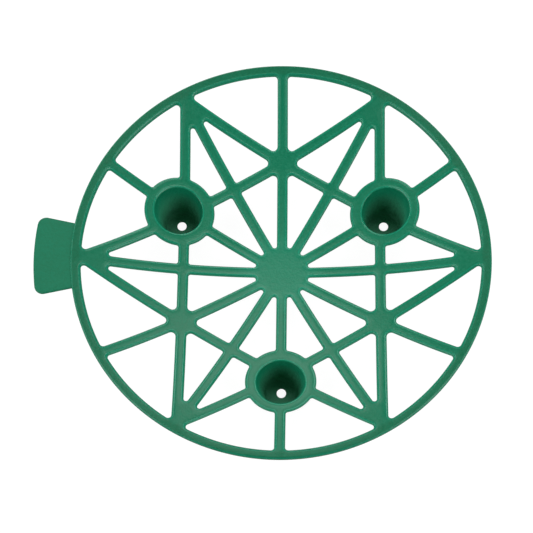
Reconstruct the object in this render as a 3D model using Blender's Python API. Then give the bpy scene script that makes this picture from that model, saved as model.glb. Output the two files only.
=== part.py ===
"""Melon support tray: a dished round lattice on three hollow drain legs.

Metres, +Z up. The feet stand on Z = 0. The rim's axis is upright and passes through the
empty named tray_axis, and the grip tab points along -X. The origin lies on the ground under
the middle of the part's box, tab included.

The tray is a disc of ribs pressed into a shallow dish. In plan, twelve spokes run out from
the hub, one every 30 degrees, over a six-pointed star whose points touch the rim's inner
edge. The star's six inner corners lie on the spokes at 30, 90, 150 ... degrees: three of them
carry a hollow leg and three are plain bosses. Each member of the lattice is a solid of its own
and meets the next one at an upright plane across a rib, just past the rounded corners.
"""

from math import asin, atan2, ceil, cos, degrees, hypot, pi, radians, sin, sqrt, tan

import bmesh
import bpy
from mathutils import Matrix, Vector

# Whole tray
TRAY_HEIGHT = 0.0362         # feet to the rim's crest
RIM_RADIUS = 0.0975          # axis to the rim's outer wall
DISH_DEPTH = 0.0228          # the rim's crest down to the hub's top
DISH_STEEPENING = 0.11       # share of the dish's rise that comes late, towards the rim

# Rim
RIM_WIDTH = 0.0046           # inner edge to outer wall
RIM_CREST_INSET = 0.0009     # outer wall in to the crest
RIM_SHOULDER_DROP = 0.0008   # crest down to where the outer wall turns upright
RIM_SKIRT_DROP = 0.0008      # how far the skirt hangs below the ribs' undersides
RIM_SKIRT_WALL = 0.0022
RIM_SKIRT_TAPER = 0.0002
RIM_FILLET = 0.0015          # rounded corners between the rim and the ribs

# Ribs
RIB_WIDTH = 0.0050
RIB_THICKNESS = 0.0016
WEB_FILLET = 0.0011          # rounded corners where ribs meet each other or a flange
BOSS_FILLET = 0.0020         # rounded corners of the plain bosses
EDGE_ROUND = 0.0011          # rounding along every upper edge
UNDER_BEVEL = 0.0003         # bevel along every lower edge
JOINT_MARGIN = 0.0012        # straight rib left on a junction past its rounded corners

# Legs
LEG_OUTSET = 0.0026          # leg centre outside the star's inner corner
FLANGE_RADIUS = 0.01645
MOUTH_RADIUS = 0.0110        # at the leg's axis, on the dish
MOUTH_ROUND = 0.0009         # rounding where the flange turns down into the leg
LEG_FLOOR_RADIUS = 0.0077    # inside, at the floor
LEG_FLOOR_ROUND = 0.0016     # inside corner between wall and floor
LEG_WALL = 0.0016
LEG_FLOOR = 0.0016
FOOT_ROUND = 0.0007          # outside corner of the foot
DRAIN_HOLE_RADIUS = 0.0022   # at its upper end
DRAIN_HOLE_FLARE = 0.0005    # how much wider its lower end is, in radius

# Grip tab
TAB_PROJECTION = 0.0171      # beyond the rim's outer wall
TAB_ROOT_WIDTH = 0.0328
TAB_END_WIDTH = 0.0402
TAB_CORNER_RADIUS = 0.0040
TAB_EDGE_ROUND = 0.0008

# How finely curves are divided
RIM_FACETS = 108
LEG_FACETS = 28
EDGE_STEPS = 2
FILLET_STEPS = 2
SHOULDER_STEPS = 3
RIM_ARC_STEPS = 6
FLANGE_ARC_STEPS = 4
TAB_ARC_STEPS = 6
RIB_CELL = 0.0080            # longest straight piece along a rib
CUT_SNAP = 1e-7              # how near a vertex lies to count as on a dividing plane
SHARP_ANGLE = radians(35)    # edges steeper than this are shaded sharp

# Finish: satin polypropylene, linear colour
PLASTIC_COLOUR = (0.023, 0.191, 0.112, 1.0)
PLASTIC_ROUGHNESS = 0.42

# Pattern, in degrees anticlockwise from +X. A six-pointed star fixes the angles of its members
STAR_ANGLES = (0, 60, 120, 180, 240, 300)   # star points, and the middles of star sides
LEG_ANGLES = (30, 150, 270)                 # the star's inner corners with a leg
BOSS_ANGLES = (90, 210, 330)                # the star's inner corners without one
TAB_ANGLE = 180

# Values that follow from the ones above
SPOKE_ANGLES = tuple(sorted(STAR_ANGLES + LEG_ANGLES + BOSS_ANGLES))
STAR_PITCH = radians(60)
SPOKE_PITCH = STAR_PITCH / 2
RIM_INNER_RADIUS = RIM_RADIUS - RIM_WIDTH
CREST_RADIUS = RIM_RADIUS - RIM_CREST_INSET
STAR_POINT_RADIUS = RIM_INNER_RADIUS
STAR_OFFSET = STAR_POINT_RADIUS * cos(STAR_PITCH)      # axis to the middle of a star side
STAR_CORNER_RADIUS = STAR_OFFSET / cos(STAR_PITCH / 2)
STAR_EDGE = STAR_CORNER_RADIUS                         # inner corner to star point
LEG_RADIUS = STAR_CORNER_RADIUS + LEG_OUTSET
RIM_DEPTH = RIB_THICKNESS + RIM_SKIRT_DROP             # crest to the skirt's underside
TAB_THICKNESS = RIM_DEPTH - RIM_SHOULDER_DROP - RIM_SKIRT_TAPER   # as tall as the rim's wall


def polar(radius, angle, centre=(0.0, 0.0)):
    """Point in plan at a radius and an angle about a centre."""
    return Vector((centre[0] + radius * cos(angle), centre[1] + radius * sin(angle)))


def arc(centre, radius, start, sweep, steps):
    """Points along an arc, both ends included."""
    return [polar(radius, start + sweep * i / steps, centre) for i in range(steps + 1)]


def reflect(points, angle):
    """Mirror image of points in the line through the axis at an angle, in reverse order."""
    turned = []
    for point in reversed(points):
        turned.append(polar(point.length, 2 * angle - atan2(point.y, point.x)))
    return turned


def turn(points, angle):
    """Points turned about the axis."""
    return [Matrix.Rotation(angle, 2) @ point for point in points]


def dish_height(radius):
    """Height above the ground of the dish's top surface. It is level outside the crest."""
    share = min(radius / CREST_RADIUS, 1.0)
    rise = (1 - DISH_STEEPENING) * share ** 2 + DISH_STEEPENING * share ** 4
    return TRAY_HEIGHT - DISH_DEPTH * (1 - rise)


def joint_reach(spread, fillet):
    """Distance from a junction to its joints, past the rounded corners between its arms."""
    return (RIB_WIDTH / 2 + fillet) / tan(spread / 2) + JOINT_MARGIN


LEG_TOP = dish_height(LEG_RADIUS)
LEG_TAPER = (MOUTH_RADIUS - LEG_FLOOR_RADIUS) / (LEG_TOP - LEG_FLOOR)
HUB_REACH = joint_reach(SPOKE_PITCH, WEB_FILLET)
BOSS_REACH = joint_reach(STAR_PITCH, BOSS_FILLET)
CROSSING_REACH = joint_reach(pi / 2, WEB_FILLET)
FAN_REACH = joint_reach(SPOKE_PITCH, WEB_FILLET)
RIM_STUB = RIM_FILLET + JOINT_MARGIN


def flange_reach(angle):
    """Distance from a star corner, along an arm, to the joint just outside the flange."""
    past_flange = FLANGE_RADIUS + WEB_FILLET + JOINT_MARGIN
    return LEG_OUTSET * cos(angle) + sqrt(past_flange ** 2 - (LEG_OUTSET * sin(angle)) ** 2)


def corner_arc(centre, near, far, width, fillet):
    """Rounded corner between two arms of a junction, from the near arm to the far one."""
    spread = far - near
    distance = (width / 2 + fillet) / sin(spread / 2)
    middle = polar(distance, near + spread / 2, centre)
    return arc(middle, fillet, near - pi / 2, spread - pi, FILLET_STEPS)


def arm_end(centre, angle, reach, width):
    """Right and left corners of an arm's end, seen from the junction."""
    end = polar(reach, angle, centre)
    across = polar(width / 2, angle + pi / 2)
    return [end - across, end + across]


def junction_outline(centre, arms, fillet, inset):
    """Outline of a junction of ribs. Each arm is an angle and a reach, anticlockwise."""
    width = RIB_WIDTH - 2 * inset
    outline = []
    for index, (angle, reach) in enumerate(arms):
        following = arms[(index + 1) % len(arms)][0]
        if following <= angle:
            following += 2 * pi
        outline += arm_end(centre, angle, reach, width)
        outline += corner_arc(centre, angle, following, width, fillet + inset)
    return outline


def bar_outline(start, angle, near, far, inset):
    """Outline of a straight rib between two distances from a point along an angle."""
    width = RIB_WIDTH - 2 * inset
    near_right, near_left = arm_end(start, angle, near, width)
    far_right, far_left = arm_end(start, angle, far, width)
    return [near_right, far_right, far_left, near_left]


def flange_outline(inset):
    """Outline of a leg's flange with its six rib stubs. The leg lies on +X."""
    width = RIB_WIDTH - 2 * inset
    fillet = WEB_FILLET + inset
    radius = FLANGE_RADIUS - inset
    leg = Vector((LEG_RADIUS, 0))
    star_corner = Vector((STAR_CORNER_RADIUS, 0))
    arms = []
    for turned in STAR_ANGLES:
        angle = radians(turned)
        across = polar(1.0, angle + pi / 2)
        offset = (star_corner - leg).dot(across)
        sides = []
        for side in (-1, 1):
            sideways = offset + side * (width / 2 + fillet)
            forward = sqrt((radius + fillet) ** 2 - sideways ** 2)
            middle = leg + polar(forward, angle) + sideways * across
            bearing = angle + atan2(sideways, forward)
            sides.append((middle, bearing))
        arms.append((angle, sides))
    outline = []
    for index, (angle, sides) in enumerate(arms):
        (right, right_bearing), (left, left_bearing) = sides
        outline += arc(right, fillet, right_bearing + pi, angle - right_bearing - pi / 2, FILLET_STEPS)
        outline += arm_end(star_corner, angle, flange_reach(angle), width)
        outline += arc(left, fillet, angle - pi / 2, left_bearing - angle - pi / 2, FILLET_STEPS)
        next_bearing = arms[(index + 1) % len(arms)][1][0][1]
        if next_bearing < left_bearing:
            next_bearing += 2 * pi
        outline += arc(leg, radius, left_bearing, next_bearing - left_bearing, FLANGE_ARC_STEPS)[1:-1]
    return outline


def rim_half_sector(inset):
    """Inner outline of the rim from the star point on +X to the spoke at 30 degrees."""
    width = RIB_WIDTH - 2 * inset
    fillet = WEB_FILLET + inset
    rim_fillet = RIM_FILLET + inset
    radius = RIM_INNER_RADIUS + inset
    point = Vector((STAR_POINT_RADIUS, 0))
    rib_angle = pi - SPOKE_PITCH
    spoke_side = arm_end(point, pi, FAN_REACH, width)[0]
    web = corner_arc(point, rib_angle, pi, width, fillet)
    rib_right, rib_left = arm_end(point, rib_angle, FAN_REACH, width)

    outward = STAR_OFFSET + width / 2 + rim_fillet
    along = sqrt((radius - rim_fillet) ** 2 - outward ** 2)
    middle = polar(outward, STAR_PITCH) + polar(along, STAR_PITCH - pi / 2)
    bearing = atan2(middle.y, middle.x)
    rib_corner = arc(middle, rim_fillet, STAR_PITCH - pi, bearing - STAR_PITCH + pi, FILLET_STEPS)

    spoke_bearing = SPOKE_PITCH - asin((width / 2 + rim_fillet) / (radius - rim_fillet))
    wall = arc((0, 0), radius, bearing, spoke_bearing - bearing, RIM_ARC_STEPS)[1:-1]
    middle = polar(radius - rim_fillet, spoke_bearing)
    sweep = SPOKE_PITCH + pi / 2 - spoke_bearing
    spoke_corner = arc(middle, rim_fillet, spoke_bearing, sweep, FILLET_STEPS)
    stub_end = arm_end((0, 0), SPOKE_PITCH, RIM_INNER_RADIUS - RIM_STUB, width)[0]

    outline = [spoke_side] + web[::-1] + [rib_left, rib_right]
    return outline + rib_corner + wall + spoke_corner + [stub_end]


def rim_inner_outline(inset):
    """The rim's whole inner outline, with its star point webs and spoke stubs."""
    half = rim_half_sector(inset)
    sector = half + reflect(half, SPOKE_PITCH)
    outline = []
    for turned in STAR_ANGLES:
        outline += turn(sector, radians(turned))
    return outline


def reach_circle(start, along, radius):
    """Distance from a point, along a direction, out to a circle round the axis."""
    forward = start.dot(along)
    return sqrt(forward ** 2 - start.length_squared + radius ** 2) - forward


def tab_outline(inset):
    """Outline of the grip tab, pointing along +X. Its root follows the rim's facets."""
    flare = atan2((TAB_END_WIDTH - TAB_ROOT_WIDTH) / 2, TAB_PROJECTION)
    along = Vector((cos(flare), sin(flare)))
    inward = Vector((sin(flare), -cos(flare)))
    side = Vector((RIM_RADIUS, TAB_ROOT_WIDTH / 2))
    edge_start = side + inset * inward
    corner = TAB_CORNER_RADIUS - inset
    end_radius = RIM_RADIUS + TAB_PROJECTION - inset

    start = edge_start + corner * inward
    middle = start + reach_circle(start, along, end_radius - corner) * along
    bearing = atan2(middle.y, middle.x)
    outer = arc((0, 0), end_radius, 0, bearing, TAB_ARC_STEPS)
    rounded = arc(middle, corner, bearing, flare + pi / 2 - bearing, TAB_ARC_STEPS)[1:]

    facet = 2 * pi / RIM_FACETS
    innermost = side + TAB_EDGE_ROUND * inward
    innermost += reach_circle(innermost, along, RIM_RADIUS) * along
    number = int(atan2(innermost.y, innermost.x) / facet)
    root = [polar(RIM_RADIUS, index * facet) for index in range(number + 1)]
    wall = polar(RIM_RADIUS, (number + 1) * facet) - root[-1]
    gap = root[-1] - edge_start
    share = (gap.x * along.y - gap.y * along.x) / (wall.y * along.x - wall.x * along.y)
    root.append(root[-1] + share * wall)

    half = outer + rounded + root[::-1]
    return half + reflect(half, 0)[1:-1]


def add_ring(mesh, outline, level):
    """A closed ring of vertices at a level measured from the dish's top surface."""
    return [mesh.verts.new((point.x, point.y, level)) for point in outline]


def join_rings(mesh, rings):
    """Walls between each ring and the next one."""
    for upper, lower in zip(rings, rings[1:]):
        for index in range(len(upper)):
            behind = index - 1
            mesh.faces.new((upper[behind], upper[index], lower[index], lower[behind]))


def fill_between(mesh, outer, inner):
    """A level face between two rings of different outlines."""
    edges = []
    for ring in (outer, inner):
        for index in range(len(ring)):
            edges.append(mesh.edges.get((ring[index - 1], ring[index])))
    bmesh.ops.triangle_fill(mesh, edges=edges, use_beauty=True, normal=(0, 0, 1))


def press_into_dish(mesh):
    """Lift each vertex by the dish's height at its radius."""
    for vertex in mesh.verts:
        vertex.co.z += dish_height(hypot(vertex.co.x, vertex.co.y))


def make_material(name):
    material = bpy.data.materials.new(name + "_plastic")
    material.use_nodes = True
    shader = material.node_tree.nodes["Principled BSDF"]
    shader.inputs["Base Color"].default_value = PLASTIC_COLOUR
    shader.inputs["Roughness"].default_value = PLASTIC_ROUGHNESS
    shader.inputs["Metallic"].default_value = 0.0
    return material


def make_mesh(name, solid):
    """Turn a finished solid into a mesh, shaded smooth except at its edges."""
    bmesh.ops.recalc_face_normals(solid, faces=solid.faces)
    mesh = bpy.data.meshes.new(name)
    solid.to_mesh(mesh)
    solid.free()
    mesh.shade_smooth()
    mesh.set_sharp_from_angle(angle=SHARP_ANGLE)
    return mesh


def place(name, mesh, axis, turned=0):
    """Put a piece on the tray's axis, turned to its place round it."""
    mesh.materials.append(make_material(name))
    piece = bpy.data.objects.new(name, mesh)
    piece.parent = axis
    piece.rotation_euler.z = radians(turned)
    bpy.context.collection.objects.link(piece)


def rounding(radius, steps):
    """Inset and drop of each point round a quarter circle, from its top to its side."""
    angles = [pi / 2 * step / steps for step in range(steps + 1)]
    return [(radius * (1 - sin(angle)), radius * (1 - cos(angle))) for angle in angles]


def plate_rings(mesh, outline, thickness, edge_round=EDGE_ROUND):
    """Rings of a flat plate with rounded upper edges and bevelled lower ones."""
    section = rounding(edge_round, EDGE_STEPS)
    section.append((0.0, thickness - UNDER_BEVEL))
    section.append((UNDER_BEVEL, thickness))
    rings = [add_ring(mesh, outline(inset), -drop) for inset, drop in section]
    join_rings(mesh, rings)
    return rings


def plate(name, outline, planes=None):
    """A flat plate, divided by planes or else from its middle, and pressed into the dish."""
    solid = bmesh.new()
    rings = plate_rings(solid, outline, RIB_THICKNESS)
    caps = [solid.faces.new(rings[0]), solid.faces.new(rings[-1][::-1])]
    if planes is None:
        bmesh.ops.poke(solid, faces=caps)
    else:
        for spot, along in planes:
            parts = solid.verts[:] + solid.edges[:] + solid.faces[:]
            bmesh.ops.bisect_plane(
                solid, geom=parts, dist=CUT_SNAP, plane_co=spot.to_3d(), plane_no=along.to_3d())
    press_into_dish(solid)
    return make_mesh(name, solid)


def cell_cuts(near, far):
    """Places that divide a length into equal cells no longer than RIB_CELL."""
    count = ceil((far - near) / RIB_CELL)
    return [near + (far - near) * index / count for index in range(1, count)]


def planes_across(start, angle, cuts):
    """Upright planes across a line at an angle: a point and a direction for each."""
    return [(polar(cut, angle, start), polar(1.0, angle)) for cut in cuts]


def bar(name, start, angle, near, far):
    """A straight rib between two joints."""
    def outline(inset):
        return bar_outline(start, angle, near, far, inset)
    return plate(name, outline, planes_across(start, angle, cell_cuts(near, far)))


def hub():
    """Filled middle where all the spokes meet."""
    arms = [(radians(turned), HUB_REACH) for turned in SPOKE_ANGLES]

    def outline(inset):
        return junction_outline(Vector((0, 0)), arms, WEB_FILLET, inset)
    return plate("centre_hub", outline)


def star_boss():
    """Plain inner corner of the star, on +X, where a spoke crosses two star sides."""
    centre = Vector((STAR_CORNER_RADIUS, 0))
    arms = [(radians(turned), BOSS_REACH) for turned in STAR_ANGLES]

    def outline(inset):
        return junction_outline(centre, arms, BOSS_FILLET, inset)
    return plate("star_boss", outline)


def star_side(right_reach, left_reach):
    """Middle of a star side, crossed by a spoke on +X, with a joint at each end."""
    centre = Vector((STAR_OFFSET, 0))
    half = STAR_OFFSET * tan(STAR_PITCH / 2)
    right = half - right_reach
    left = half - left_reach
    arms = [(0.0, CROSSING_REACH), (pi / 2, left), (pi, CROSSING_REACH), (3 * pi / 2, right)]
    cuts = cell_cuts(-right, -CROSSING_REACH) + [-CROSSING_REACH, CROSSING_REACH]
    cuts += cell_cuts(CROSSING_REACH, left)

    def outline(inset):
        return junction_outline(centre, arms, WEB_FILLET, inset)
    return plate("star_side", outline, planes_across(centre, pi / 2, cuts))


def circle(centre, radius, facets):
    return [polar(radius, 2 * pi * index / facets, centre) for index in range(facets)]


def mouth_outline(radius):
    """Where the sloping dish cuts the leg's cone, which is this wide at its axis."""
    centre = Vector((LEG_RADIUS, 0))
    outline = []
    for point in circle(centre, radius, LEG_FACETS):
        widening = LEG_TAPER * (dish_height(point.length) - LEG_TOP)
        outline.append(centre + (1 + widening / radius) * (point - centre))
    return outline


def leg_cup():
    """Hollow tapered leg on +X with its flange, drain hole and six rib stubs."""
    solid = bmesh.new()
    flange = plate_rings(solid, flange_outline, RIB_THICKNESS)
    centre = (LEG_RADIUS, 0.0)
    foot_radius = LEG_FLOOR_RADIUS + LEG_WALL

    rings = []
    for inset, drop in rounding(MOUTH_ROUND, EDGE_STEPS):
        rings.append(add_ring(solid, mouth_outline(MOUTH_RADIUS + inset), -drop))
    profile = []
    for inset, rise in reversed(rounding(LEG_FLOOR_ROUND, EDGE_STEPS)):
        profile.append((LEG_FLOOR_RADIUS - inset, LEG_FLOOR + rise))
    profile += [(DRAIN_HOLE_RADIUS, LEG_FLOOR), (DRAIN_HOLE_RADIUS + DRAIN_HOLE_FLARE, 0.0)]
    profile += [(foot_radius - FOOT_ROUND, 0.0), (foot_radius, FOOT_ROUND)]
    for radius, height in profile:
        ring = []
        for point in circle(centre, radius, LEG_FACETS):
            ring.append(solid.verts.new((point.x, point.y, height - dish_height(point.length))))
        rings.append(ring)
    rings.append(add_ring(solid, mouth_outline(MOUTH_RADIUS + LEG_WALL), -RIB_THICKNESS))
    join_rings(solid, rings)
    fill_between(solid, flange[0], rings[0])
    fill_between(solid, flange[-1], rings[-1])
    press_into_dish(solid)
    return make_mesh("leg_cup", solid)


def rim():
    """Rim with a rounded shoulder and a skirt, its star point webs and its spoke stubs."""
    solid = bmesh.new()
    inner = plate_rings(solid, rim_inner_outline, RIB_THICKNESS)
    profile = []
    for step in range(SHOULDER_STEPS + 1):
        angle = pi / 2 * step / SHOULDER_STEPS
        radius = CREST_RADIUS + RIM_CREST_INSET * sin(angle)
        profile.append((radius, -RIM_SHOULDER_DROP * (1 - cos(angle))))
    skirt_inside = RIM_RADIUS - RIM_SKIRT_WALL
    profile.append((RIM_RADIUS, RIM_SKIRT_TAPER - RIM_DEPTH))
    profile.append((RIM_RADIUS - RIM_SKIRT_TAPER, -RIM_DEPTH))
    profile.append((skirt_inside + RIM_SKIRT_TAPER, -RIM_DEPTH))
    profile.append((skirt_inside, -RIB_THICKNESS))
    rings = []
    for radius, level in profile:
        rings.append(add_ring(solid, circle((0, 0), radius, RIM_FACETS), level))
    join_rings(solid, rings)
    fill_between(solid, rings[0], inner[0])
    fill_between(solid, rings[-1], inner[-1])
    press_into_dish(solid)
    return make_mesh("rim_ring", solid)


def grip_tab():
    """Flat tab outside the rim, its top level with the foot of the rim's shoulder."""
    solid = bmesh.new()
    rings = plate_rings(solid, tab_outline, TAB_THICKNESS, TAB_EDGE_ROUND)
    solid.faces.new(rings[0])
    solid.faces.new(rings[-1][::-1])
    for vertex in solid.verts:
        vertex.co.z += TRAY_HEIGHT - RIM_SHOULDER_DROP
    return make_mesh("grip_tab", solid)


def clear_scene():
    for item in list(bpy.data.objects):
        bpy.data.objects.remove(item, do_unlink=True)


def build_spokes(axis):
    """Inner and outer spokes, parted by a leg, a boss or the middle of a star side."""
    origin = Vector((0, 0))
    for turned in SPOKE_ANGLES:
        if turned in LEG_ANGLES:
            inner_end = STAR_CORNER_RADIUS - flange_reach(pi)
            outer_start = STAR_CORNER_RADIUS + flange_reach(0)
            outer_end = RIM_INNER_RADIUS - RIM_STUB
        elif turned in BOSS_ANGLES:
            inner_end = STAR_CORNER_RADIUS - BOSS_REACH
            outer_start = STAR_CORNER_RADIUS + BOSS_REACH
            outer_end = RIM_INNER_RADIUS - RIM_STUB
        else:
            inner_end = STAR_OFFSET - CROSSING_REACH
            outer_start = STAR_OFFSET + CROSSING_REACH
            outer_end = STAR_POINT_RADIUS - FAN_REACH
        for side, near, far in (("inner", HUB_REACH, inner_end), ("outer", outer_start, outer_end)):
            name = f"{side}_spoke_{turned:03d}"
            place(name, bar(name, origin, 0.0, near, far), axis, turned)


def build_star(axis):
    """Star sides between the inner corners, and the two arms from each corner to the rim."""
    leg_reach = flange_reach(2 * STAR_PITCH)
    corner_step = round(degrees(SPOKE_PITCH))
    for turned in STAR_ANGLES:
        leg_on_left = turned + corner_step in LEG_ANGLES
        reaches = (BOSS_REACH, leg_reach) if leg_on_left else (leg_reach, BOSS_REACH)
        place(f"star_side_{turned:03d}", star_side(*reaches), axis, turned)
    corner = Vector((STAR_CORNER_RADIUS, 0))
    for turned in LEG_ANGLES + BOSS_ANGLES:
        near = flange_reach(STAR_PITCH) if turned in LEG_ANGLES else BOSS_REACH
        for side, angle in (("left", STAR_PITCH), ("right", -STAR_PITCH)):
            name = f"star_arm_{turned:03d}_{side}"
            place(name, bar(name, corner, angle, near, STAR_EDGE - FAN_REACH), axis, turned)


def build_tray():
    clear_scene()
    axis = bpy.data.objects.new("tray_axis", None)
    axis.location.x = TAB_PROJECTION / 2
    bpy.context.collection.objects.link(axis)
    place("rim_ring", rim(), axis)
    place("grip_tab", grip_tab(), axis, TAB_ANGLE)
    place("centre_hub", hub(), axis)
    for turned in LEG_ANGLES:
        place(f"leg_cup_{turned:03d}", leg_cup(), axis, turned)
    for turned in BOSS_ANGLES:
        place(f"star_boss_{turned:03d}", star_boss(), axis, turned)
    build_spokes(axis)
    build_star(axis)


build_tray()
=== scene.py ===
"""The looks of a melon support tray: one satin green moulding on a white ground.

Metres, +Z up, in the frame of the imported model. Each member of the lattice is drawn again
from its solid's sizes, with finer curves, softer edges and slightly sunk ribs, and stands for
that solid. All members are built in place, so one material runs on from each to the next.
"""

from math import asin, atan2, ceil, cos, degrees, exp, hypot, pi, radians, sin, sqrt, tan

import bmesh
import bpy
import numpy as np
from mathutils import Matrix, Vector
from mathutils.geometry import delaunay_2d_cdt

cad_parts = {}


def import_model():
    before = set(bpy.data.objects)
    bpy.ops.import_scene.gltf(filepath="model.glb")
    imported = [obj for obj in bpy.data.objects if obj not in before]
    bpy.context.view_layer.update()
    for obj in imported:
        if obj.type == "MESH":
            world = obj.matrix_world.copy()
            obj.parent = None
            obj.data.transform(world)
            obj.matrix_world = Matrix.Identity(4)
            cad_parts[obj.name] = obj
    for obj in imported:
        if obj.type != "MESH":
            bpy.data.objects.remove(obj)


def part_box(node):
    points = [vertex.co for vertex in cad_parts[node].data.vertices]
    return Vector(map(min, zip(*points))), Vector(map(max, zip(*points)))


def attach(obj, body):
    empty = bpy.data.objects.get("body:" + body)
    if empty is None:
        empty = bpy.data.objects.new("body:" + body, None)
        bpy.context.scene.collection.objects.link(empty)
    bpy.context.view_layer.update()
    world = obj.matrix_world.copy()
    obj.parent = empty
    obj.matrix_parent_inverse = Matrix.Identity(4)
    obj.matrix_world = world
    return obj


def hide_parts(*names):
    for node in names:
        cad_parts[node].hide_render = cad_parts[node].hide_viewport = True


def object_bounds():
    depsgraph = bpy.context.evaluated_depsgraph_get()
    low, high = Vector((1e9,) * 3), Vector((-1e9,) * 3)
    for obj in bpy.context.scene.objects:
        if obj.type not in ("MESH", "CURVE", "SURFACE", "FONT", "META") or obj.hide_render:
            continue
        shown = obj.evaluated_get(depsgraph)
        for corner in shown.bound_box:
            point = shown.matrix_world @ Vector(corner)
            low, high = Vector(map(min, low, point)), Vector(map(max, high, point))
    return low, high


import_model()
cad_low, cad_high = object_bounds()
rim_low, rim_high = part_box("rim_ring")
tab_low, tab_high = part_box("grip_tab")

# Sizes read from the solids
TRAY_HEIGHT = cad_high.z
RIM_RADIUS = (rim_high.y - rim_low.y) / 2
AXIS = Vector(((rim_low.x + rim_high.x) / 2, 0, 0))
TAB_PROJECTION = rim_low.x - tab_low.x
TAB_TOP = tab_high.z
TAB_THICKNESS = tab_high.z - tab_low.z

# Dish and rim, as in the solids
DISH_DEPTH = 0.0228
DISH_STEEPENING = 0.11       # share of the dish's rise that comes late, towards the rim
RIM_WIDTH = 0.0046           # inner edge to outer wall
RIM_CREST_INSET = 0.0009     # outer wall in to the crest
RIM_SHOULDER_DROP = 0.0008   # crest down to where the outer wall turns upright
RIM_SKIRT_DROP = 0.0008      # how far the skirt hangs below the ribs' undersides
RIM_SKIRT_WALL = 0.0022
RIM_FILLET = 0.0015

# Ribs, as in the solids
RIB_WIDTH = 0.0050
RIB_THICKNESS = 0.0016
WEB_FILLET = 0.0011
BOSS_FILLET = 0.0020
EDGE_ROUND = 0.0011
JOINT_MARGIN = 0.0012

# Legs, as in the solids
LEG_OUTSET = 0.0026
FLANGE_RADIUS = 0.01645
MOUTH_RADIUS = 0.0110
MOUTH_ROUND = 0.0009
LEG_FLOOR_RADIUS = 0.0077
LEG_FLOOR_ROUND = 0.0016
LEG_WALL = 0.0016
LEG_FLOOR = 0.0016
FOOT_ROUND = 0.0007
DRAIN_HOLE_RADIUS = 0.0022
DRAIN_HOLE_FLARE = 0.0005    # how much wider its lower end is, in radius

# Grip tab, as in the solid
TAB_ROOT_WIDTH = 0.0328
TAB_END_WIDTH = 0.0402
TAB_CORNER_RADIUS = 0.0040
TAB_EDGE_ROUND = 0.0008

# Softness that only the looks have
UNDER_ROUND = 0.0003         # rounding along every lower edge
SINK_DEPTH = 0.00016         # the middle of every rib lies this much below its edges
SINK_WIDTH = 0.0004          # slope from the edge down to the sunk middle
HOLE_ROUND = 0.0003
LIP_INSET = 0.0002           # the smooth lip, painted pale as a highlight, lies this far out from where an edge turns down
LIP_WIDTH = 0.00035
SHOULDER_FLATNESS = 1.6      # 1 is a round shoulder on the rim, 2 a flat bevel
DULL_DEPTH = 0.004           # the inside of a leg is fully dull, and painted lighter, from this far below its mouth

# Looks that vertices carry: smooth lip of an edge, painted pale as a highlight; side of a rib, painted
# paler as a glow; inside of a leg, dull and painted lighter; and the paler floor of a leg
LOOKS = ("lip", "side", "dull", "dust")

# How finely curves are divided
RIM_FACETS = 360
LEG_FACETS = 96
EDGE_STEPS = 5
UNDER_STEPS = 3
SINK_STEPS = 3
FILLET_STEPS = 6
RIM_ARC_STEPS = 22
FLANGE_ARC_STEPS = 12
TAB_ARC_STEPS = 12
WALL_STEPS = 8
CELL = 0.0022                # side of the cells that the flats are divided into
SNAP = 1e-7                  # lengths under this count as none
SHARP_ANGLE = radians(40)

# Pattern, in degrees anticlockwise from +X
STAR_ANGLES = (0, 60, 120, 180, 240, 300)
LEG_ANGLES = (30, 150, 270)
BOSS_ANGLES = (90, 210, 330)
TAB_ANGLE = 180

# Values that follow from the ones above
SPOKE_ANGLES = tuple(sorted(STAR_ANGLES + LEG_ANGLES + BOSS_ANGLES))
STAR_PITCH = radians(60)
SPOKE_PITCH = STAR_PITCH / 2
RIM_INNER_RADIUS = RIM_RADIUS - RIM_WIDTH
CREST_RADIUS = RIM_RADIUS - RIM_CREST_INSET
STAR_POINT_RADIUS = RIM_INNER_RADIUS
STAR_OFFSET = STAR_POINT_RADIUS * cos(STAR_PITCH)
STAR_CORNER_RADIUS = STAR_OFFSET / cos(STAR_PITCH / 2)
STAR_EDGE = STAR_CORNER_RADIUS
LEG_RADIUS = STAR_CORNER_RADIUS + LEG_OUTSET
RIM_DEPTH = RIB_THICKNESS + RIM_SKIRT_DROP
RIM_LIP_EDGE = RIM_CREST_INSET / 2


def polar(radius, angle, centre=(0.0, 0.0)):
    """Point in plan at a radius and an angle about a centre."""
    return Vector((centre[0] + radius * cos(angle), centre[1] + radius * sin(angle)))


def arc(centre, radius, start, sweep, steps):
    """Points along an arc, both ends included."""
    return [polar(radius, start + sweep * i / steps, centre) for i in range(steps + 1)]


def circle(centre, radius, facets):
    """Points round a whole circle."""
    return [polar(radius, 2 * pi * index / facets, centre) for index in range(facets)]


def reflect(points, angle):
    """Mirror image of points in the line through the axis at an angle, in reverse order."""
    turned = []
    for point in reversed(points):
        turned.append(polar(point.length, 2 * angle - atan2(point.y, point.x)))
    return turned


def turn(points, angle):
    """Points turned about the axis."""
    return [Matrix.Rotation(angle, 2) @ point for point in points]


def dish_height(radius):
    """Height above the ground of the dish's top surface. It is level outside the crest."""
    share = min(radius / CREST_RADIUS, 1.0)
    rise = (1 - DISH_STEEPENING) * share ** 2 + DISH_STEEPENING * share ** 4
    return TRAY_HEIGHT - DISH_DEPTH * (1 - rise)


def joint_reach(spread, fillet):
    """Distance from a junction to its joints, past the rounded corners between its arms."""
    return (RIB_WIDTH / 2 + fillet) / tan(spread / 2) + JOINT_MARGIN


LEG_TOP = dish_height(LEG_RADIUS)
LEG_TAPER = (MOUTH_RADIUS - LEG_FLOOR_RADIUS) / (LEG_TOP - LEG_FLOOR)
HUB_REACH = joint_reach(SPOKE_PITCH, WEB_FILLET)
BOSS_REACH = joint_reach(STAR_PITCH, BOSS_FILLET)
CROSSING_REACH = joint_reach(pi / 2, WEB_FILLET)
FAN_REACH = joint_reach(SPOKE_PITCH, WEB_FILLET)
RIM_STUB = RIM_FILLET + JOINT_MARGIN


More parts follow.
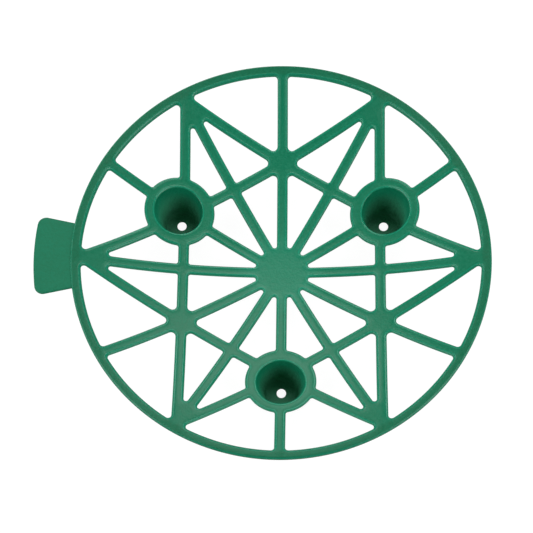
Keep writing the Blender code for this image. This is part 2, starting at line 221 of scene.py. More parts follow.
def flange_reach(angle):
    """Distance from a star corner, along an arm, to the joint just outside the flange."""
    past_flange = FLANGE_RADIUS + WEB_FILLET + JOINT_MARGIN
    return LEG_OUTSET * cos(angle) + sqrt(past_flange ** 2 - (LEG_OUTSET * sin(angle)) ** 2)


def corner_arc(centre, near, far, width, fillet):
    """Rounded corner between two arms of a junction, from the near arm to the far one."""
    spread = far - near
    distance = (width / 2 + fillet) / sin(spread / 2)
    middle = polar(distance, near + spread / 2, centre)
    return arc(middle, fillet, near - pi / 2, spread - pi, FILLET_STEPS)


def arm_end(centre, angle, reach, width):
    """Right and left corners of an arm's end, seen from the junction."""
    end = polar(reach, angle, centre)
    across = polar(width / 2, angle + pi / 2)
    return [end - across, end + across]


def junction_outline(centre, arms, fillet, inset):
    """Outline of a junction of ribs. Each arm is an angle and a reach, anticlockwise."""
    width = RIB_WIDTH - 2 * inset
    outline = []
    for index, (angle, reach) in enumerate(arms):
        following = arms[(index + 1) % len(arms)][0]
        if following <= angle:
            following += 2 * pi
        outline += arm_end(centre, angle, reach, width)
        outline += corner_arc(centre, angle, following, width, fillet + inset)
    return outline


def bar_outline(start, angle, near, far, inset):
    """Outline of a straight rib between two distances from a point along an angle."""
    width = RIB_WIDTH - 2 * inset
    near_right, near_left = arm_end(start, angle, near, width)
    far_right, far_left = arm_end(start, angle, far, width)
    return [near_right, far_right, far_left, near_left]


def flange_outline(inset):
    """Outline of a leg's flange with its six rib stubs. The leg lies on +X."""
    width = RIB_WIDTH - 2 * inset
    fillet = WEB_FILLET + inset
    radius = FLANGE_RADIUS - inset
    leg = Vector((LEG_RADIUS, 0))
    star_corner = Vector((STAR_CORNER_RADIUS, 0))
    arms = []
    for turned in STAR_ANGLES:
        angle = radians(turned)
        across = polar(1.0, angle + pi / 2)
        offset = (star_corner - leg).dot(across)
        sides = []
        for side in (-1, 1):
            sideways = offset + side * (width / 2 + fillet)
            forward = sqrt((radius + fillet) ** 2 - sideways ** 2)
            middle = leg + polar(forward, angle) + sideways * across
            bearing = angle + atan2(sideways, forward)
            sides.append((middle, bearing))
        arms.append((angle, sides))
    outline = []
    for index, (angle, sides) in enumerate(arms):
        (right, right_bearing), (left, left_bearing) = sides
        outline += arc(right, fillet, right_bearing + pi, angle - right_bearing - pi / 2, FILLET_STEPS)
        outline += arm_end(star_corner, angle, flange_reach(angle), width)
        outline += arc(left, fillet, angle - pi / 2, left_bearing - angle - pi / 2, FILLET_STEPS)
        next_bearing = arms[(index + 1) % len(arms)][1][0][1]
        if next_bearing < left_bearing:
            next_bearing += 2 * pi
        outline += arc(leg, radius, left_bearing, next_bearing - left_bearing, FLANGE_ARC_STEPS)[1:-1]
    return outline


def rim_half_sector(inset):
    """Inner outline of the rim from the star point on +X to the spoke at 30 degrees."""
    width = RIB_WIDTH - 2 * inset
    fillet = WEB_FILLET + inset
    rim_fillet = RIM_FILLET + inset
    radius = RIM_INNER_RADIUS + inset
    point = Vector((STAR_POINT_RADIUS, 0))
    rib_angle = pi - SPOKE_PITCH
    spoke_side = arm_end(point, pi, FAN_REACH, width)[0]
    web = corner_arc(point, rib_angle, pi, width, fillet)
    rib_right, rib_left = arm_end(point, rib_angle, FAN_REACH, width)

    outward = STAR_OFFSET + width / 2 + rim_fillet
    along = sqrt((radius - rim_fillet) ** 2 - outward ** 2)
    middle = polar(outward, STAR_PITCH) + polar(along, STAR_PITCH - pi / 2)
    bearing = atan2(middle.y, middle.x)
    rib_corner = arc(middle, rim_fillet, STAR_PITCH - pi, bearing - STAR_PITCH + pi, FILLET_STEPS)

    spoke_bearing = SPOKE_PITCH - asin((width / 2 + rim_fillet) / (radius - rim_fillet))
    wall = arc((0, 0), radius, bearing, spoke_bearing - bearing, RIM_ARC_STEPS)[1:-1]
    middle = polar(radius - rim_fillet, spoke_bearing)
    sweep = SPOKE_PITCH + pi / 2 - spoke_bearing
    spoke_corner = arc(middle, rim_fillet, spoke_bearing, sweep, FILLET_STEPS)
    stub_end = arm_end((0, 0), SPOKE_PITCH, RIM_INNER_RADIUS - RIM_STUB, width)[0]

    outline = [spoke_side] + web[::-1] + [rib_left, rib_right]
    return outline + rib_corner + wall + spoke_corner + [stub_end]


def rim_inner_outline(inset):
    """The rim's whole inner outline, with its star point webs and spoke stubs."""
    half = rim_half_sector(inset)
    sector = half + reflect(half, SPOKE_PITCH)
    outline = []
    for turned in STAR_ANGLES:
        outline += turn(sector, radians(turned))
    return outline


def reach_circle(start, along, radius):
    """Distance from a point, along a direction, out to a circle round the axis."""
    forward = start.dot(along)
    return sqrt(forward ** 2 - start.length_squared + radius ** 2) - forward


def tab_outline(inset):
    """Outline of the grip tab, pointing along +X. Its root follows the rim's wall."""
    flare = atan2((TAB_END_WIDTH - TAB_ROOT_WIDTH) / 2, TAB_PROJECTION)
    along = Vector((cos(flare), sin(flare)))
    inward = Vector((sin(flare), -cos(flare)))
    edge_start = Vector((RIM_RADIUS, TAB_ROOT_WIDTH / 2)) + inset * inward
    corner = TAB_CORNER_RADIUS - inset
    end_radius = RIM_RADIUS + TAB_PROJECTION - inset

    start = edge_start + corner * inward
    middle = start + reach_circle(start, along, end_radius - corner) * along
    bearing = atan2(middle.y, middle.x)
    outer = arc((0, 0), end_radius, 0, bearing, TAB_ARC_STEPS)
    rounded = arc(middle, corner, bearing, flare + pi / 2 - bearing, TAB_ARC_STEPS)[1:]
    root_end = edge_start + reach_circle(edge_start, along, RIM_RADIUS) * along
    root = arc((0, 0), RIM_RADIUS, 0, atan2(root_end.y, root_end.x), TAB_ARC_STEPS)

    half = outer + rounded + root[::-1]
    return half + reflect(half, 0)[1:-1]


def rounding(radius, steps):
    """Inset and drop of each point round a quarter circle, from its top to its side."""
    angles = [pi / 2 * step / steps for step in range(steps + 1)]
    return [(radius * (1 - sin(angle)), radius * (1 - cos(angle))) for angle in angles]


def sinking(radius):
    """Inset and drop from the sunk middle of a flat out to where its edge turns down."""
    section = []
    for step in range(SINK_STEPS):
        share = step / SINK_STEPS
        ease = (1 + cos(pi * share)) / 2
        section.append((radius + SINK_WIDTH * (1 - share), SINK_DEPTH * ease))
    return section


def edge_section(round_radius, thickness, sunk=True):
    """Inset and drop from the flat top round a plate's edge to its flat underside."""
    section = sinking(round_radius) if sunk else []
    section += rounding(round_radius, EDGE_STEPS)
    for inset, rise in reversed(rounding(UNDER_ROUND, UNDER_STEPS)):
        section.append((inset, thickness - rise))
    return section


def lip_share(inset, round_radius):
    """How much of the smooth lip and its painted highlight there is, at an inset from a rounded edge.
    """
    return exp(-((inset - round_radius + LIP_INSET) / LIP_WIDTH) ** 2)


def side_glow_share(inset, round_radius):
    """How far a rounded edge has turned down to its side, at an inset from that side. It sets the
    painted glow of a rib's thin side.
    """
    return max(0.0, 1 - 2 * inset / round_radius)


def is_joint(outer, inner, index):
    """Whether a stretch of an outline is a joint's face, which an inset leaves in its plane."""
    behind = index - 1
    along = outer[index] - outer[behind]
    moves = (inner[index] - outer[index], inner[behind] - outer[behind])
    return all(abs(along.cross(move)) < SNAP * along.length for move in moves)


def divided(points, counts):
    """Points of an outline with each stretch divided into a given number of equal parts."""
    made = []
    for index, count in enumerate(counts):
        behind = points[index - 1]
        made += [behind.lerp(points[index], step / count) for step in range(1, count + 1)]
    return made


def new_solid():
    """An empty solid, whose vertices say how far each of four looks holds there."""
    solid = bmesh.new()
    for name in LOOKS:
        solid.verts.layers.float.new(name)
    return solid


def add_ring(mesh, outline, level, **looks):
    """A closed ring of vertices at a level measured from the dish's top surface."""
    ring = [mesh.verts.new((point.x, point.y, level)) for point in outline]
    for name, value in looks.items():
        layer = mesh.verts.layers.float[name]
        for vertex in ring:
            vertex[layer] = value
    return ring


def join_rings(mesh, rings, joints=()):
    """Walls between each ring and the next one. A joint's face is a single polygon."""
    for upper, lower in zip(rings, rings[1:]):
        for index in range(len(upper)):
            if index not in joints:
                behind = index - 1
                mesh.faces.new((upper[behind], upper[index], lower[index], lower[behind]))
    for index in joints:
        face = [ring[index] for ring in rings] + [ring[index - 1] for ring in reversed(rings)]
        mesh.faces.new(face)


def plate_rings(mesh, outline, section):
    """Rings of a plate's edge, with long stretches divided so that they follow the dish."""
    outer, inner = outline(0.0), outline(EDGE_ROUND)
    counts = []
    joints = []
    for index in range(len(outer)):
        count = ceil((outer[index] - outer[index - 1]).length / CELL)
        if is_joint(outer, inner, index):
            count = 1
            joints.append(sum(counts))
        counts.append(count)
    rings = []
    for inset, drop in section:
        ring = divided(outline(inset), counts)
        # The lip's pale colour is a painted highlight, and the side's pale colour is a painted glow
        lip, side = lip_share(inset, EDGE_ROUND), side_glow_share(inset, EDGE_ROUND)
        rings.append(add_ring(mesh, ring, -drop, lip=lip, side=side))
    join_rings(mesh, rings, joints)
    return rings


def grid_points(starts, ends):
    """Points of an even grid inside a region, clear of its borders."""
    low, high = starts.min(0), starts.max(0)
    along = ends - starts
    kept = []
    for row, y in enumerate(np.arange(low[1] + CELL / 2, high[1], CELL * sqrt(3) / 2)):
        shift = CELL / 2 * (1 + row % 2)
        points = [(x, y) for x in np.arange(low[0] + shift, high[0], CELL)]
        if not points:
            continue
        points = np.array(points)
        crossed = (starts[:, 1] > y) != (ends[:, 1] > y)
        slope = along[crossed, 0] / along[crossed, 1]
        borders = starts[crossed, 0] + (y - starts[crossed, 1]) * slope
        inside = (points[:, :1] < borders).sum(1) % 2 == 1
        offset = points[:, None] - starts
        share = np.clip((offset * along).sum(2) / (along ** 2).sum(1), 0, 1)
        distance = np.linalg.norm(offset - share[..., None] * along, axis=2).min(1)
        kept += [Vector(point) for point in points[inside & (distance > CELL / 2)]]
    return kept


def fill_flat(mesh, rings, level):
    """Fill the level region inside a ring of vertices, and outside a second one, with triangles."""
    vertices = []
    loops = []
    for ring in rings:
        loops.append(list(range(len(vertices), len(vertices) + len(ring))))
        vertices += ring
    points = [vertex.co.to_2d() for vertex in vertices]
    plan = np.array(points)
    inner = grid_points(plan, plan[np.concatenate([np.roll(loop, -1) for loop in loops])])
    vertices += add_ring(mesh, inner, level)
    loops[1:] = [loop[::-1] for loop in loops[1:]]
    inside_with_holes = 2
    filled = delaunay_2d_cdt(points + inner, [], loops, inside_with_holes, SNAP)
    faces, sources = filled[2], filled[3]
    for face in faces:
        mesh.faces.new([vertices[sources[corner][0]] for corner in face])


def press_into_dish(mesh):
    """Lift each vertex by the dish's height at its radius."""
    for vertex in mesh.verts:
        vertex.co.z += dish_height(hypot(vertex.co.x, vertex.co.y))


def plate(outline):
    """A rib or junction, pressed into the dish."""
    solid = new_solid()
    rings = plate_rings(solid, outline, edge_section(EDGE_ROUND, RIB_THICKNESS))
    fill_flat(solid, rings[:1], -SINK_DEPTH)
    fill_flat(solid, rings[-1:], -RIB_THICKNESS)
    press_into_dish(solid)
    return solid


def bar(start, angle, near, far):
    """A straight rib between two joints."""
    return plate(lambda inset: bar_outline(start, angle, near, far, inset))


def hub():
    """Filled middle where all the spokes meet."""
    arms = [(radians(turned), HUB_REACH) for turned in SPOKE_ANGLES]
    return plate(lambda inset: junction_outline(Vector((0, 0)), arms, WEB_FILLET, inset))


def star_boss():
    """Plain inner corner of the star, on +X, where a spoke crosses two star sides."""
    centre = Vector((STAR_CORNER_RADIUS, 0))
    arms = [(radians(turned), BOSS_REACH) for turned in STAR_ANGLES]
    return plate(lambda inset: junction_outline(centre, arms, BOSS_FILLET, inset))


def star_side(right_reach, left_reach):
    """Middle of a star side, crossed by a spoke on +X, with a joint at each end."""
    centre = Vector((STAR_OFFSET, 0))
    half = STAR_OFFSET * tan(STAR_PITCH / 2)
    arms = [(0.0, CROSSING_REACH), (pi / 2, half - left_reach)]
    arms += [(pi, CROSSING_REACH), (3 * pi / 2, half - right_reach)]
    return plate(lambda inset: junction_outline(centre, arms, WEB_FILLET, inset))


def mouth_outline(radius):
    """Where the sloping dish cuts the leg's cone, which is this wide at its axis."""
    centre = Vector((LEG_RADIUS, 0))
    outline = []
    for point in circle(centre, radius, LEG_FACETS):
        widening = LEG_TAPER * (dish_height(point.length) - LEG_TOP)
        outline.append(centre + (1 + widening / radius) * (point - centre))
    return outline


def leg_floor_profile():
    """Radius, height and dullness over a leg's floor, down its hole and up round its foot."""
    profile = []
    for inset, rise in reversed(rounding(LEG_FLOOR_ROUND, EDGE_STEPS)):
        profile.append((LEG_FLOOR_RADIUS - inset, LEG_FLOOR + rise, 1.0))
    for inset, drop in rounding(HOLE_ROUND, UNDER_STEPS):
        profile.append((DRAIN_HOLE_RADIUS + inset, LEG_FLOOR - drop, 1.0))
    profile.append((DRAIN_HOLE_RADIUS + DRAIN_HOLE_FLARE, 0.0, 0.0))
    for inset, rise in rounding(FOOT_ROUND, EDGE_STEPS):
        profile.append((LEG_FLOOR_RADIUS + LEG_WALL - inset, rise, 0.0))
    return profile


def leg_cup():
    """Hollow tapered leg on +X with its flange, drain hole and six rib stubs."""
    solid = new_solid()
    flange = plate_rings(solid, flange_outline, edge_section(EDGE_ROUND, RIB_THICKNESS))
    rings = []
    # The rounded mouth carries a lip painted pale as a highlight
    for inset, drop in sinking(MOUTH_ROUND) + rounding(MOUTH_ROUND, EDGE_STEPS):
        ring = mouth_outline(MOUTH_RADIUS + inset)
        rings.append(add_ring(solid, ring, -drop, lip=lip_share(inset, MOUTH_ROUND)))

    # Below the mouth the leg is duller and painted lighter, as light coming through its wall
    dull_outline = mouth_outline(MOUTH_RADIUS - LEG_TAPER * DULL_DEPTH)
    rings.append(add_ring(solid, dull_outline, -DULL_DEPTH, dull=1.0))
    for radius, height, share in leg_floor_profile():
        outline = circle((LEG_RADIUS, 0.0), radius, LEG_FACETS)
        ring = add_ring(solid, outline, height, dull=share, dust=share)
        for vertex in ring:
            vertex.co.z -= dish_height(hypot(vertex.co.x, vertex.co.y))
        rings.append(ring)
    rings.append(add_ring(solid, mouth_outline(MOUTH_RADIUS + LEG_WALL), -RIB_THICKNESS))
    join_rings(solid, rings)
    fill_flat(solid, [flange[0], rings[0]], -SINK_DEPTH)
    fill_flat(solid, [flange[-1], rings[-1]], -RIB_THICKNESS)
    press_into_dish(solid)
    return solid


def rim_profile():
    """Radius and level from the rim's crest over its shoulder and round its skirt."""
    profile = []
    for step in range(WALL_STEPS + 1):
        angle = pi / 2 * step / WALL_STEPS
        radius = CREST_RADIUS + RIM_CREST_INSET * sin(angle) ** SHOULDER_FLATNESS
        profile.append((radius, -RIM_SHOULDER_DROP * (1 - cos(angle) ** SHOULDER_FLATNESS)))
    for inset, rise in reversed(rounding(UNDER_ROUND, UNDER_STEPS)):
        profile.append((RIM_RADIUS - inset, rise - RIM_DEPTH))
    skirt_inside = RIM_RADIUS - RIM_SKIRT_WALL
    for inset, rise in rounding(UNDER_ROUND, UNDER_STEPS):
        profile.append((skirt_inside + inset, rise - RIM_DEPTH))
    profile.append((skirt_inside, -RIB_THICKNESS))
    return profile


def rim():
    """Rim with a rounded shoulder and a skirt, its star point webs and its spoke stubs."""
    solid = new_solid()
    inner = plate_rings(solid, rim_inner_outline, edge_section(EDGE_ROUND, RIB_THICKNESS))
    rings = []
    for radius, level in rim_profile():
        # The lip on the shoulder is painted pale as a highlight
        lip = 0.0
        if level > -RIM_SHOULDER_DROP:
            lip = lip_share(RIM_RADIUS - radius, RIM_LIP_EDGE)
        rings.append(add_ring(solid, circle((0, 0), radius, RIM_FACETS), level, lip=lip))
    join_rings(solid, rings)
    fill_flat(solid, [rings[0], inner[0]], -SINK_DEPTH)
    fill_flat(solid, [rings[-1], inner[-1]], -RIB_THICKNESS)
    press_into_dish(solid)
    return solid


def grip_tab():
    """Flat tab outside the rim, its top level with the foot of the rim's shoulder."""
    solid = new_solid()
    section = edge_section(TAB_EDGE_ROUND, TAB_THICKNESS, sunk=False)
    outline = tab_outline(0.0)
    counts = [ceil((outline[i] - outline[i - 1]).length / CELL) for i in range(len(outline))]
    rings = []
    for inset, drop in section:
        rings.append(add_ring(solid, divided(tab_outline(inset), counts), -drop))
    join_rings(solid, rings)
    fill_flat(solid, rings[:1], 0.0)
    fill_flat(solid, rings[-1:], -TAB_THICKNESS)
    bmesh.ops.translate(solid, verts=solid.verts, vec=(0, 0, TAB_TOP))
    return solid


def noise(tree, vector, texture):
    """Noise texture over a vector, between about 0 and 1."""
    node = tree.nodes.new("ShaderNodeTexNoise")
    for name, value in zip(("Scale", "Detail", "Roughness"), texture):
        node.inputs[name].default_value = value
    tree.links.new(vector, node.inputs["Vector"])
    return node.outputs["Fac"]


def remap(tree, value, source=(0, 1), target=(0, 1), kind="LINEAR"):
    """Map Range node that brings a value from a source range to a target range."""
    node = tree.nodes.new("ShaderNodeMapRange")
    node.interpolation_type = kind
    node.inputs["From Min"].default_value, node.inputs["From Max"].default_value = source
    node.inputs["To Min"].default_value, node.inputs["To Max"].default_value = target
    tree.links.new(value, node.inputs["Value"])
    return node.outputs["Result"]


def attribute(tree, name):
    """A value that the mesh's vertices carry."""
    node = tree.nodes.new("ShaderNodeAttribute")
    node.attribute_name = name
    return node.outputs["Fac"]


def calculate(tree, operation, *values):
    """Math node on up to three values, each a socket or a number."""
    node = tree.nodes.new("ShaderNodeMath")
    node.operation = operation
    for socket, value in zip(node.inputs, values):
        if isinstance(value, (int, float)):
            socket.default_value = value
        else:
            tree.links.new(value, socket)
    return node.outputs["Value"]


def vector_math(tree, operation, vector, other=None):
    """Outputs of a Vector Math node on a vector socket and a fixed vector."""
    node = tree.nodes.new("ShaderNodeVectorMath")
    node.operation = operation
    tree.links.new(vector, node.inputs[0])
    if other is not None:
        node.inputs[1].default_value = other
    return node.outputs


def add_shares(tree, total, places, weights):
    """A value with each place's share added to it, times that place's weight."""
    for name, weight in weights.items():
        total = calculate(tree, "MULTIPLY_ADD", places[name], weight, total)
    return total


def mix_colours(tree, share, first, second, clamped=True):
    """Mix of two colours, each a socket or a value, that is all the second at a share of 1."""
    node = tree.nodes.new("ShaderNodeMix")
    node.data_type = "RGBA"
    node.clamp_factor = clamped
    tree.links.new(share, node.inputs["Factor"])
    ends = [socket for socket in node.inputs if socket.type == "RGBA"]
    for socket, colour in zip(ends, (first, second)):
        if isinstance(colour, tuple):
            socket.default_value = colour
        else:
            tree.links.new(colour, socket)
    return [socket for socket in node.outputs if socket.type == "RGBA"][0]


def bump(tree, height, distance, normal=None):
    """Bump node of a given depth, laid over an earlier one."""
    node = tree.nodes.new("ShaderNodeBump")
    node.inputs["Distance"].default_value = distance
    tree.links.new(height, node.inputs["Height"])
    if normal:
        tree.links.new(normal, node.inputs["Normal"])
    return node.outputs["Normal"]


# Satin green polypropylene
PLASTIC_GREEN = (0.0012, 0.170, 0.083, 1.0)
PLASTIC_PALE = (0.0095, 0.232, 0.128, 1.0)
PLASTIC_PALE_FLOOR = (0.055, 0.280, 0.158, 1.0)
PLASTIC_SPECULAR = 0.328

# Noises in the plastic: scale, detail and roughness
STREAKS = (9.0, 4.0, 0.5)
CLOUDS = (26.0, 3.0, 0.5)
SPECKS = (800.0, 3.0, 0.6)
GLOSS = (70.0, 5.0, 0.6)
WAVES = (110.0, 1.0, 0.5)
GRAIN = (2600.0, 2.0, 0.5)
SPECK_CONTRAST = (0.35, 0.65)    # stretch of the specks' noise that spans their whole range

# Distances from the axis over which the hub ends, the rim begins and the tab begins. They spread
# painted light over the hub and the tab, and painted shade over the rim
HUB_LIGHT_FADE = (0.012, 0.024)
RIM_SHADE_FADE = (0.0925, 0.0945)
TAB_LIGHT_FADE = (0.0972, 0.0984)

# Share of the pale colour: the range that each noise adds, and what each place adds. The shares of the
# hub, lip, side, tab and leg inside are painted light; the rim's negative share is painted shade
STREAK_PALENESS = (-0.15, 0.15)
CLOUD_PALENESS = (-0.13, 0.17)
SPECK_PALENESS = (-0.16, 0.16)
PALENESS = {"hub": 0.55, "lip": 1.3, "side": 1.2, "rim": -0.42, "tab": 0.30, "dull": 0.3}

# Roughness and shine, in the same way
GLOSS_ROUGHNESS = (0.33, 0.43)
SPECK_ROUGHNESS = (0.0, 0.08)
ROUGHNESS = {"lip": -0.27, "rim": 0.09, "tab": 0.11, "dull": 0.16}
SHINE = {"dull": -0.12}

# Depths of the relief, and how much deeper the specks are pitted in each place
WAVE_DEPTH = 0.00006
PIT_DEPTH = 0.00004
GRAIN_DEPTH = 0.000006
PITTING = {"dull": 2.0, "rim": 0.8, "tab": -1.1}


def satin_plastic():
    """Moulded plastic: flow streaks from the hub, uneven satin gloss and a fine grain, with painted
    light on the hub, edges, tab and leg insides and painted shade on the rim.
    """
    material = bpy.data.materials.new("satin_green_plastic")
    material.use_nodes = True
    tree = material.node_tree
    shader = tree.nodes["Principled BSDF"]
    place = tree.nodes.new("ShaderNodeTexCoord").outputs["Object"]

    centred = vector_math(tree, "SUBTRACT", place, AXIS)["Vector"]
    in_plan = vector_math(tree, "MULTIPLY", centred, (1, 1, 0))["Vector"]
    radius = vector_math(tree, "LENGTH", in_plan)["Value"]
    outward = vector_math(tree, "NORMALIZE", in_plan)["Vector"]
    places = {name: attribute(tree, name) for name in LOOKS}
    # Painted light on the hub and the tab, and painted shade on the rim, by distance from the axis
    places["hub"] = remap(tree, radius, HUB_LIGHT_FADE, (1, 0), "SMOOTHSTEP")
    places["rim"] = remap(tree, radius, RIM_SHADE_FADE, (0, 1), "SMOOTHSTEP")
    places["tab"] = remap(tree, radius, TAB_LIGHT_FADE, (0, 1), "SMOOTHSTEP")

    streaks = remap(tree, noise(tree, outward, STREAKS), target=STREAK_PALENESS)
    clouds = remap(tree, noise(tree, place, CLOUDS), target=CLOUD_PALENESS)
    specks = remap(tree, noise(tree, place, SPECKS), source=SPECK_CONTRAST)
    share = calculate(tree, "ADD", streaks, clouds)
    share = calculate(tree, "ADD", share, remap(tree, specks, target=SPECK_PALENESS))
    share = add_shares(tree, share, places, PALENESS)
    colour = mix_colours(tree, share, PLASTIC_GREEN, PLASTIC_PALE, clamped=False)
    # Each leg's floor and the top of its drain hole turn a paler, greyer green
    colour = mix_colours(tree, places["dust"], colour, PLASTIC_PALE_FLOOR)
    tree.links.new(colour, shader.inputs["Base Color"])

    gloss = remap(tree, noise(tree, place, GLOSS), target=GLOSS_ROUGHNESS)
    finish = calculate(tree, "ADD", gloss, remap(tree, specks, target=SPECK_ROUGHNESS))
    finish = add_shares(tree, finish, places, ROUGHNESS)
    tree.links.new(finish, shader.inputs["Roughness"])
    shine = add_shares(tree, PLASTIC_SPECULAR, places, SHINE)
    tree.links.new(shine, shader.inputs["Specular IOR Level"])

    pits = calculate(tree, "MULTIPLY", specks, add_shares(tree, 1.0, places, PITTING))
    normal = bump(tree, noise(tree, place, WAVES), WAVE_DEPTH)
    normal = bump(tree, pits, PIT_DEPTH, normal)
    normal = bump(tree, noise(tree, place, GRAIN), GRAIN_DEPTH, normal)
    tree.links.new(normal, shader.inputs["Normal"])
    return material


plastic = satin_plastic()


def place_piece(node, solid, turned=0):
    """Turn a finished solid to its place and let it stand for its node."""
    matrix = Matrix.Translation(AXIS) @ Matrix.Rotation(radians(turned), 4, "Z")
    bmesh.ops.transform(solid, matrix=matrix, verts=solid.verts)
    bmesh.ops.recalc_face_normals(solid, faces=solid.faces)
    mesh = bpy.data.meshes.new(node + "_moulding")
    solid.to_mesh(mesh)
    solid.free()
    mesh.materials.append(plastic)
    mesh.shade_smooth()
    mesh.set_sharp_from_angle(angle=SHARP_ANGLE)
    piece = bpy.data.objects.new(mesh.name, mesh)
    bpy.context.collection.objects.link(piece)
    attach(piece, "root")
    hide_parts(node)


def build_spokes():
    """Inner and outer spokes, parted by a leg, a boss or the middle of a star side."""
    origin = Vector((0, 0))
    for turned in SPOKE_ANGLES:
        if turned in LEG_ANGLES:
            inner_end = STAR_CORNER_RADIUS - flange_reach(pi)
            outer_start = STAR_CORNER_RADIUS + flange_reach(0)
            outer_end = RIM_INNER_RADIUS - RIM_STUB
        elif turned in BOSS_ANGLES:
            inner_end = STAR_CORNER_RADIUS - BOSS_REACH
            outer_start = STAR_CORNER_RADIUS + BOSS_REACH
            outer_end = RIM_INNER_RADIUS - RIM_STUB
        else:
            inner_end = STAR_OFFSET - CROSSING_REACH
            outer_start = STAR_OFFSET + CROSSING_REACH
            outer_end = STAR_POINT_RADIUS - FAN_REACH
        place_piece(f"inner_spoke_{turned:03d}", bar(origin, 0.0, HUB_REACH, inner_end), turned)
        place_piece(f"outer_spoke_{turned:03d}", bar(origin, 0.0, outer_start, outer_end), turned)


def build_star():
    """Star sides between the inner corners, and the two arms from each corner to the rim."""
    leg_reach = flange_reach(2 * STAR_PITCH)
    corner_step = round(degrees(SPOKE_PITCH))
    for turned in STAR_ANGLES:
        leg_on_left = turned + corner_step in LEG_ANGLES
        reaches = (BOSS_REACH, leg_reach) if leg_on_left else (leg_reach, BOSS_REACH)
        place_piece(f"star_side_{turned:03d}", star_side(*reaches), turned)
    corner = Vector((STAR_CORNER_RADIUS, 0))
    for turned in LEG_ANGLES + BOSS_ANGLES:
        near = flange_reach(STAR_PITCH) if turned in LEG_ANGLES else BOSS_REACH
        for side, angle in (("left", STAR_PITCH), ("right", -STAR_PITCH)):
            arm = bar(corner, angle, near, STAR_EDGE - FAN_REACH)
            place_piece(f"star_arm_{turned:03d}_{side}", arm, turned)


place_piece("rim_ring", rim())
place_piece("grip_tab", grip_tab(), TAB_ANGLE)
place_piece("centre_hub", hub())
for angle in LEG_ANGLES:
    place_piece(f"leg_cup_{angle:03d}", leg_cup(), angle)
for angle in BOSS_ANGLES:
    place_piece(f"star_boss_{angle:03d}", star_boss(), angle)
build_spokes()
build_star()


# Floor: white to the camera, with a faint shadow of the tray
FLOOR_SIZE = 6.0
FLOOR_ALBEDO = (0.75, 0.75, 0.75, 1.0)
FLOOR_GLOW = 0.94            # white that the camera sees whatever the light
FLOOR_SHADE = (0.12, 0.12, 0.12, 1.0)


def white_floor():
    """A floor that the camera sees as white, darker only where the tray shades it."""
    material = bpy.data.materials.new("white_floor")
    material.use_nodes = True
    tree = material.node_tree
    tree.nodes.clear()
    matte = tree.nodes.new("ShaderNodeBsdfDiffuse")
    matte.inputs["Color"].default_value = FLOOR_ALBEDO
    shade = tree.nodes.new("ShaderNodeBsdfDiffuse")
    shade.inputs["Color"].default_value = FLOOR_SHADE
    glow = tree.nodes.new("ShaderNodeEmission")
    glow.inputs["Strength"].default_value = FLOOR_GLOW
    seen = tree.nodes.new("ShaderNodeAddShader")
    tree.links.new(shade.outputs["BSDF"], seen.inputs[0])
    tree.links.new(glow.outputs["Emission"], seen.inputs[1])
    path = tree.nodes.new("ShaderNodeLightPath")
    mix = tree.nodes.new("ShaderNodeMixShader")
    tree.links.new(path.outputs["Is Camera Ray"], mix.inputs["Fac"])
    tree.links.new(matte.outputs["BSDF"], mix.inputs[1])
    tree.links.new(seen.outputs["Shader"], mix.inputs[2])
    output = tree.nodes.new("ShaderNodeOutputMaterial")
    tree.links.new(mix.outputs["Shader"], output.inputs["Surface"])

    half = FLOOR_SIZE / 2
    mesh = bpy.data.meshes.new("floor")
    mesh.from_pydata([(-half, -half, 0), (half, -half, 0), (half, half, 0), (-half, half, 0)],
                     [], [(0, 1, 2, 3)])
    mesh.materials.append(material)
    floor = bpy.data.objects.new("floor", mesh)
    bpy.context.collection.objects.link(floor)


# Light: a dim even room, a large soft lamp behind the tray, one on each side in front and
# a small low one at the left
WHITE = (1.0, 1.0, 1.0, 1.0)
ROOM_LIGHT = 0.07
CENTRE = Vector((AXIS.x, 0, TRAY_HEIGHT / 2))

# Each lamp's angle off overhead, azimuth from +X, distance, width, height and radiance
LAMPS = {
    "back_softbox": (42, 82, 1.2, 0.9, 0.87, 4.05),
    "left_front_softbox": (60, 205, 1.3, 0.9, 0.9, 3.7),
    "right_front_softbox": (60, 332, 1.3, 0.9, 0.9, 3.9),
    "low_left_softbox": (74, 162, 1.3, 0.6, 0.25, 5.0),
}


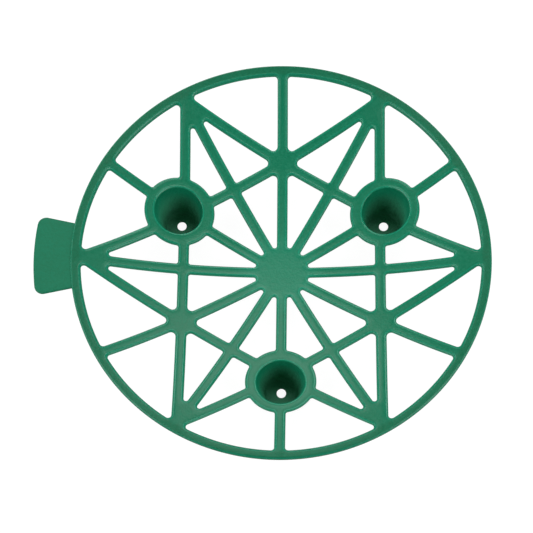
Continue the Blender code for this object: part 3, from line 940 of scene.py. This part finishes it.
def world():
    """White to the camera, dim and even to everything else."""
    scene_world = bpy.data.worlds.new("studio")
    scene_world.use_nodes = True
    tree = scene_world.node_tree
    background = tree.nodes["Background"]
    seen = tree.nodes.new("ShaderNodeLightPath").outputs["Is Camera Ray"]
    background.inputs["Color"].default_value = WHITE
    strength = remap(tree, seen, target=(ROOM_LIGHT, 1.0))
    tree.links.new(strength, background.inputs["Strength"])
    bpy.context.scene.world = scene_world


def soft_lamp(name, zenith, azimuth, distance, width, height, radiance):
    """Area lamp facing the tray, from an angle off overhead and an azimuth from +X."""
    light = bpy.data.lights.new(name, "AREA")
    light.shape = "RECTANGLE"
    light.size = width
    light.size_y = height
    light.energy = radiance * pi * width * height
    lamp = bpy.data.objects.new(name, light)
    turned = Matrix.Rotation(radians(azimuth - 90), 4, "Z") @ Matrix.Rotation(radians(-zenith), 4, "X")
    lamp.matrix_world = Matrix.Translation(CENTRE) @ turned @ Matrix.Translation((0, 0, distance))
    lamp.visible_camera = False
    bpy.context.collection.objects.link(lamp)


# Camera: the photograph's place and frame
PHOTO_SIDE = 533
FOCAL_PIXELS = 2012.6
AXIS_PIXEL_X = 316.91       # where the camera's own axis meets the photograph
CAMERA_TILT = radians(20.936)
CAMERA_DISTANCE = 0.9285
CAMERA_TURN = radians(0.105)
CAMERA_AIM = Vector((0.01656, -0.00586, TRAY_HEIGHT))
SENSOR_WIDTH = 36.0
CLIP_START = 0.05
CLIP_END = 20.0


def photo_camera():
    """Camera at the photograph's place, with the photograph's frame."""
    data = bpy.data.cameras.new("photo_camera")
    data.sensor_width = SENSOR_WIDTH
    data.lens = FOCAL_PIXELS / PHOTO_SIDE * SENSOR_WIDTH
    data.shift_x = 0.5 - AXIS_PIXEL_X / PHOTO_SIDE
    data.clip_start = CLIP_START
    data.clip_end = CLIP_END
    camera = bpy.data.objects.new("photo_camera", data)
    turned = Matrix.Translation(AXIS) @ Matrix.Rotation(CAMERA_TURN, 4, "Z")
    tilted = Matrix.Translation(CAMERA_AIM) @ Matrix.Rotation(CAMERA_TILT, 4, "X")
    camera.matrix_world = turned @ tilted @ Matrix.Translation((0, 0, CAMERA_DISTANCE))
    bpy.context.collection.objects.link(camera)
    bpy.context.scene.camera = camera


white_floor()
world()
for lamp, settings in LAMPS.items():
    soft_lamp(lamp, *settings)
photo_camera()
bpy.context.scene.view_settings.view_transform = "Standard"
